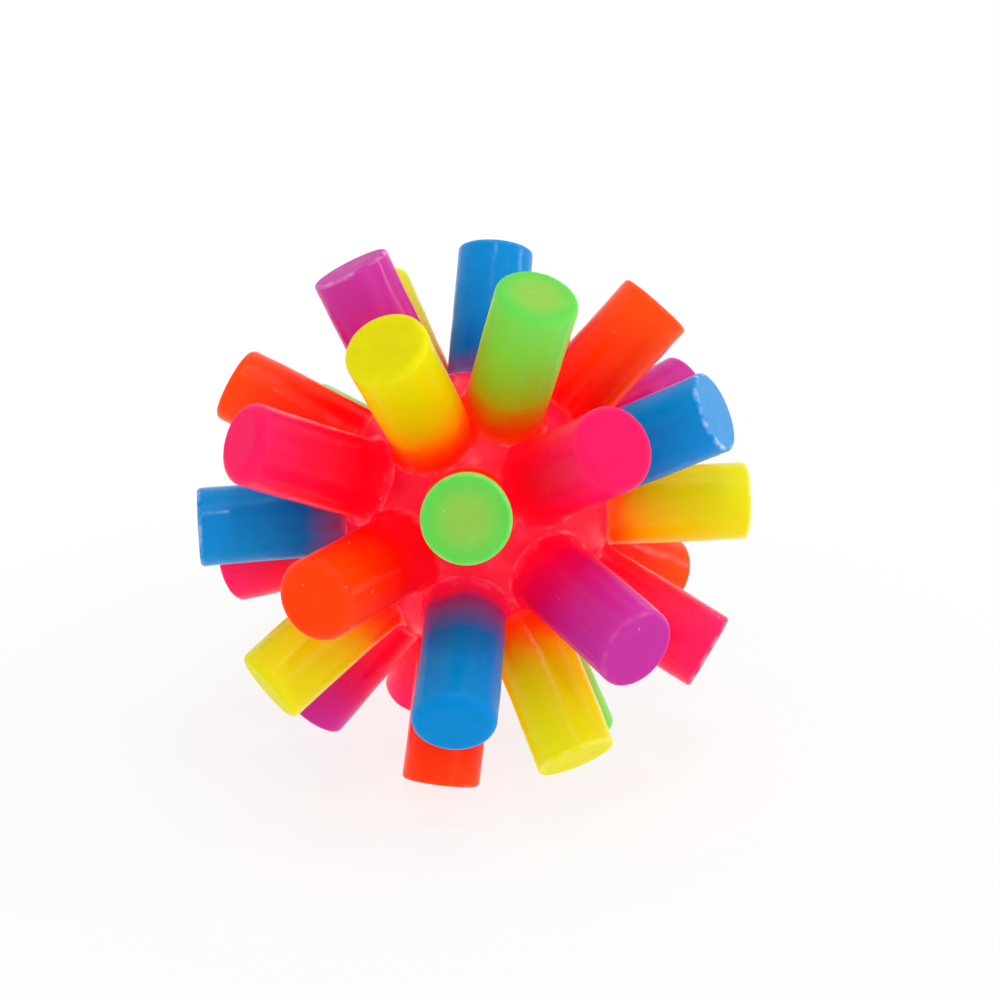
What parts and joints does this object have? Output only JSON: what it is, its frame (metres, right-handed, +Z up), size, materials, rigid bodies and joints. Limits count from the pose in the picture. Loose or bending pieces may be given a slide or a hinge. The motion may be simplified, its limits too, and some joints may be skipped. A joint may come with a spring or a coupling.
{
  "type": "light-up bouncy ball",
  "caption": "Soft rubber ball of flat-ended bending fingers in six colours on a red core, with a shake-started flashing light capsule sealed inside.",
  "frame": {"origin": "centre of the ball", "axes": "+Z up as the ball stands on the ends of its three lowest fingers, -Y towards the viewer of the picture, +X to the right"},
  "size_m": [0.0753, 0.0746, 0.0715],
  "materials": {
    "rubber_green": "smooth moulded thermoplastic rubber, satin, slightly see-through",
    "rubber_yellow": "smooth moulded thermoplastic rubber, satin, slightly see-through",
    "rubber_orange": "smooth moulded thermoplastic rubber, satin, slightly see-through",
    "rubber_pink": "smooth moulded thermoplastic rubber, satin, slightly see-through",
    "rubber_purple": "smooth moulded thermoplastic rubber, satin, slightly see-through",
    "rubber_blue": "smooth moulded thermoplastic rubber, satin, slightly see-through",
    "rubber_core": "smooth moulded thermoplastic rubber, satin, slightly see-through",
    "clear_capsule": "clear moulded polystyrene",
    "circuit_board": "green solder resist",
    "led_red": "tinted epoxy lens",
    "led_green": "tinted epoxy lens",
    "led_blue": "tinted epoxy lens",
    "epoxy_black": "black potting epoxy",
    "cell_steel": "plated steel can",
    "sleeve_white": "moulded plastic sleeve",
    "contact_brass": "stamped brass",
    "spring_steel": "drawn spring wire"
  },
  "bodies": {
    "core": {"core_shell": "rubber_core", "loading_plug": "rubber_core", "capsule_upper": "clear_capsule", "capsule_lower": "clear_capsule", "circuit_board": "circuit_board", "led_red": "led_red", "led_green": "led_green", "led_blue": "led_blue", "driver_chip": "epoxy_black", "cell_lower": "cell_steel", "cell_upper": "cell_steel", "cell_sleeve": "sleeve_white", "contact_upper": "contact_brass", "contact_lower": "contact_brass", "switch_collar": "contact_brass", "switch_post": "contact_brass"},
    "finger_01": {"finger_01_purple": "rubber_purple"},
    "finger_02": {"finger_02_blue": "rubber_blue"},
    "finger_03": {"finger_03_green": "rubber_green"},
    "finger_04": {"finger_04_orange": "rubber_orange"},
    "finger_05": {"finger_05_yellow": "rubber_yellow"},
    "finger_06": {"finger_06_yellow": "rubber_yellow"},
    "finger_07": {"finger_07_pink": "rubber_pink"},
    "finger_08": {"finger_08_blue": "rubber_blue"},
    "finger_09": {"finger_09_pink": "rubber_pink"},
    "finger_10": {"finger_10_orange": "rubber_orange"},
    "finger_11": {"finger_11_pink": "rubber_pink"},
    "finger_12": {"finger_12_purple": "rubber_purple"},
    "finger_13": {"finger_13_green": "rubber_green"},
    "finger_14": {"finger_14_orange": "rubber_orange"},
    "finger_15": {"finger_15_green": "rubber_green"},
    "finger_16": {"finger_16_yellow": "rubber_yellow"},
    "finger_17": {"finger_17_orange": "rubber_orange"},
    "finger_18": {"finger_18_blue": "rubber_blue"},
    "finger_19": {"finger_19_green": "rubber_green"},
    "finger_20": {"finger_20_purple": "rubber_purple"},
    "finger_21": {"finger_21_pink": "rubber_pink"},
    "finger_22": {"finger_22_purple": "rubber_purple"},
    "finger_23": {"finger_23_orange": "rubber_orange"},
    "finger_24": {"finger_24_blue": "rubber_blue"},
    "finger_25": {"finger_25_pink": "rubber_pink"},
    "finger_26": {"finger_26_yellow": "rubber_yellow"},
    "finger_27": {"finger_27_yellow": "rubber_yellow"},
    "finger_28": {"finger_28_yellow": "rubber_yellow"},
    "finger_29": {"finger_29_blue": "rubber_blue"},
    "finger_30": {"finger_30_purple": "rubber_purple"},
    "finger_31": {"finger_31_green": "rubber_green"},
    "finger_32": {"finger_32_orange": "rubber_orange"},
    "finger_33": {"finger_33_pink": "rubber_pink"},
    "switch_spring": {"switch_spring": "spring_steel"}
  },
  "joints": [
    {"name": "finger_01_bend", "type": "hinge", "parent": "core", "child": "finger_01", "pos_m": [-0.00955, -0.00025, 0.01959], "axis": [0.8985, 0.0235, 0.4384], "range_deg": [-25, 25], "stiffness_Nm_per_rad": 0.02},
    {"name": "finger_02_bend", "type": "hinge", "parent": "core", "child": "finger_02", "pos_m": [0.00184, 0.01041, 0.01907], "axis": [-0.1519, -0.8613, 0.4848], "range_deg": [-25, 25], "stiffness_Nm_per_rad": 0.02},
    {"name": "finger_03_bend", "type": "hinge", "parent": "core", "child": "finger_03", "pos_m": [0.00449, -0.0092, 0.01925], "axis": [-0.3871, 0.7936, 0.4695], "range_deg": [-25, 25], "stiffness_Nm_per_rad": 0.02},
    {"name": "finger_04_bend", "type": "hinge", "parent": "core", "child": "finger_04", "pos_m": [0.01432, 0.00344, 0.01607], "axis": [-0.7169, -0.1721, 0.6756], "range_deg": [-25, 25], "stiffness_Nm_per_rad": 0.02},
    {"name": "finger_05_bend", "type": "hinge", "parent": "core", "child": "finger_05", "pos_m": [-0.00625, -0.01254, 0.0167], "axis": [0.3418, 0.6856, 0.6428], "range_deg": [-25, 25], "stiffness_Nm_per_rad": 0.02},
    {"name": "finger_06_bend", "type": "hinge", "parent": "core", "child": "finger_06", "pos_m": [-0.00854, 0.01315, 0.01514], "axis": [0.3783, -0.5826, 0.7193], "range_deg": [-25, 25], "stiffness_Nm_per_rad": 0.02},
    {"name": "finger_07_bend", "type": "hinge", "parent": "core", "child": "finger_07", "pos_m": [0.00557, 0.01823, 0.01057], "axis": [-0.1417, -0.4636, 0.8746], "range_deg": [-25, 25], "stiffness_Nm_per_rad": 0.02},
    {"name": "finger_08_bend", "type": "hinge", "parent": "core", "child": "finger_08", "pos_m": [0.01785, -0.00721, 0.01023], "axis": [-0.4353, 0.1759, 0.8829], "range_deg": [-25, 25], "stiffness_Nm_per_rad": 0.02},
    {"name": "finger_09_bend", "type": "hinge", "parent": "core", "child": "finger_09", "pos_m": [0.01001, -0.01633, 0.0104], "axis": [-0.2493, 0.4068, 0.8788], "range_deg": [-25, 25], "stiffness_Nm_per_rad": 0.02},
    {"name": "finger_10_bend", "type": "hinge", "parent": "core", "child": "finger_10", "pos_m": [-0.01916, 0.00321, 0.0099], "axis": [0.4478, -0.0749, 0.891], "range_deg": [-25, 25], "stiffness_Nm_per_rad": 0.02},
    {"name": "finger_11_bend", "type": "hinge", "parent": "core", "child": "finger_11", "pos_m": [-0.01698, -0.0104, 0.00887], "axis": [0.3468, 0.2125, 0.9135], "range_deg": [-25, 25], "stiffness_Nm_per_rad": 0.02},
    {"name": "finger_12_bend", "type": "hinge", "parent": "core", "child": "finger_12", "pos_m": [0.01792, 0.00993, 0.00746], "axis": [-0.2991, -0.1658, 0.9397], "range_deg": [-25, 25], "stiffness_Nm_per_rad": 0.02},
    {"name": "finger_13_bend", "type": "hinge", "parent": "core", "child": "finger_13", "pos_m": [-0.00072, -0.02066, 0.00692], "axis": [0.0111, 0.3171, 0.9483], "range_deg": [-25, 25], "stiffness_Nm_per_rad": 0.02},
    {"name": "finger_14_bend", "type": "hinge", "parent": "core", "child": "finger_14", "pos_m": [-0.00338, 0.02132, 0.00303], "axis": [0.0218, -0.1375, 0.9903], "range_deg": [-25, 25], "stiffness_Nm_per_rad": 0.02},
    {"name": "finger_15_bend", "type": "hinge", "parent": "core", "child": "finger_15", "pos_m": [-0.01441, 0.016, 0.00341], "axis": [0.1047, -0.1163, 0.9877], "range_deg": [-25, 25], "stiffness_Nm_per_rad": 0.02},
    {"name": "finger_16_bend", "type": "hinge", "parent": "core", "child": "finger_16", "pos_m": [0.02178, -0.00038, 0.00076], "axis": [-0.0349, 0.0006, 0.9994], "range_deg": [-25, 25], "stiffness_Nm_per_rad": 0.02},
    {"name": "finger_17_bend", "type": "hinge", "parent": "core", "child": "finger_17", "pos_m": [-0.01123, -0.01869, -0.00019], "axis": [-0.0045, -0.0075, 1], "range_deg": [-25, 25], "stiffness_Nm_per_rad": 0.02},
    {"name": "finger_18_bend", "type": "hinge", "parent": "core", "child": "finger_18", "pos_m": [-0.02153, -0.00341, 0], "axis": [0, 0, 1], "range_deg": [-25, 25], "stiffness_Nm_per_rad": 0.02},
    {"name": "finger_19_bend", "type": "hinge", "parent": "core", "child": "finger_19", "pos_m": [0.01149, 0.01838, -0.00228], "axis": [0.0554, 0.0886, 0.9945], "range_deg": [-25, 25], "stiffness_Nm_per_rad": 0.02},
    {"name": "finger_20_bend", "type": "hinge", "parent": "core", "child": "finger_20", "pos_m": [0.01169, -0.018, -0.00379], "axis": [0.0946, -0.1456, 0.9848], "range_deg": [-25, 25], "stiffness_Nm_per_rad": 0.02},
    {"name": "finger_21_bend", "type": "hinge", "parent": "core", "child": "finger_21", "pos_m": [-0.02012, 0.00502, -0.00674], "axis": [-0.2998, 0.0748, 0.9511], "range_deg": [-25, 25], "stiffness_Nm_per_rad": 0.02},
    {"name": "finger_22_bend", "type": "hinge", "parent": "core", "child": "finger_22", "pos_m": [0.00035, 0.02006, -0.00852], "axis": [0.0068, 0.3907, 0.9205], "range_deg": [-25, 25], "stiffness_Nm_per_rad": 0.02},
    {"name": "finger_23_bend", "type": "hinge", "parent": "core", "child": "finger_23", "pos_m": [0.01719, 0.00973, -0.00921], "axis": [0.3678, 0.2081, 0.9063], "range_deg": [-25, 25], "stiffness_Nm_per_rad": 0.02},
    {"name": "finger_24_bend", "type": "hinge", "parent": "core", "child": "finger_24", "pos_m": [-0.00121, -0.01972, -0.00921], "axis": [-0.0258, -0.4218, 0.9063], "range_deg": [-25, 25], "stiffness_Nm_per_rad": 0.02},
    {"name": "finger_25_bend", "type": "hinge", "parent": "core", "child": "finger_25", "pos_m": [0.01851, -0.00692, -0.00921], "axis": [0.3959, -0.148, 0.9063], "range_deg": [-25, 25], "stiffness_Nm_per_rad": 0.02},
    {"name": "finger_26_bend", "type": "hinge", "parent": "core", "child": "finger_26", "pos_m": [-0.0159, -0.01052, -0.01057], "axis": [-0.4043, -0.2676, 0.8746], "range_deg": [-25, 25], "stiffness_Nm_per_rad": 0.02},
    {"name": "finger_27_bend", "type": "hinge", "parent": "core", "child": "finger_27", "pos_m": [-0.0111, 0.01527, -0.0109], "axis": [-0.2939, 0.4045, 0.866], "range_deg": [-25, 25], "stiffness_Nm_per_rad": 0.02},
    {"name": "finger_28_bend", "type": "hinge", "parent": "core", "child": "finger_28", "pos_m": [0.00791, -0.01399, -0.01473], "axis": [0.3327, -0.588, 0.7373], "range_deg": [-25, 25], "stiffness_Nm_per_rad": 0.02},
    {"name": "finger_29_bend", "type": "hinge", "parent": "core", "child": "finger_29", "pos_m": [0.00707, 0.01176, -0.01694], "axis": [0.4003, 0.6661, 0.6293], "range_deg": [-25, 25], "stiffness_Nm_per_rad": 0.02},
    {"name": "finger_30_bend", "type": "hinge", "parent": "core", "child": "finger_30", "pos_m": [-0.01347, -0.00165, -0.01706], "axis": [-0.7768, -0.0954, 0.6225], "range_deg": [-25, 25], "stiffness_Nm_per_rad": 0.02},
    {"name": "finger_31_bend", "type": "hinge", "parent": "core", "child": "finger_31", "pos_m": [0.00916, -0.00096, -0.01976], "axis": [0.9013, -0.0947, 0.4226], "range_deg": [-25, 25], "stiffness_Nm_per_rad": 0.02},
    {"name": "finger_32_bend", "type": "hinge", "parent": "core", "child": "finger_32", "pos_m": [-0.00262, -0.00883, -0.01976], "axis": [-0.2574, -0.869, 0.4226], "range_deg": [-25, 25], "stiffness_Nm_per_rad": 0.02},
    {"name": "finger_33_bend", "type": "hinge", "parent": "core", "child": "finger_33", "pos_m": [-0.00509, 0.00768, -0.01976], "axis": [-0.5002, 0.7558, 0.4226], "range_deg": [-25, 25], "stiffness_Nm_per_rad": 0.02},
    {"name": "switch_sway", "type": "hinge", "parent": "core", "child": "switch_spring", "pos_m": [-0.00744, 0, -0.0022], "axis": [0, 1, 0], "range_deg": [-5, 5], "stiffness_Nm_per_rad": 0.00001}
  ]
}
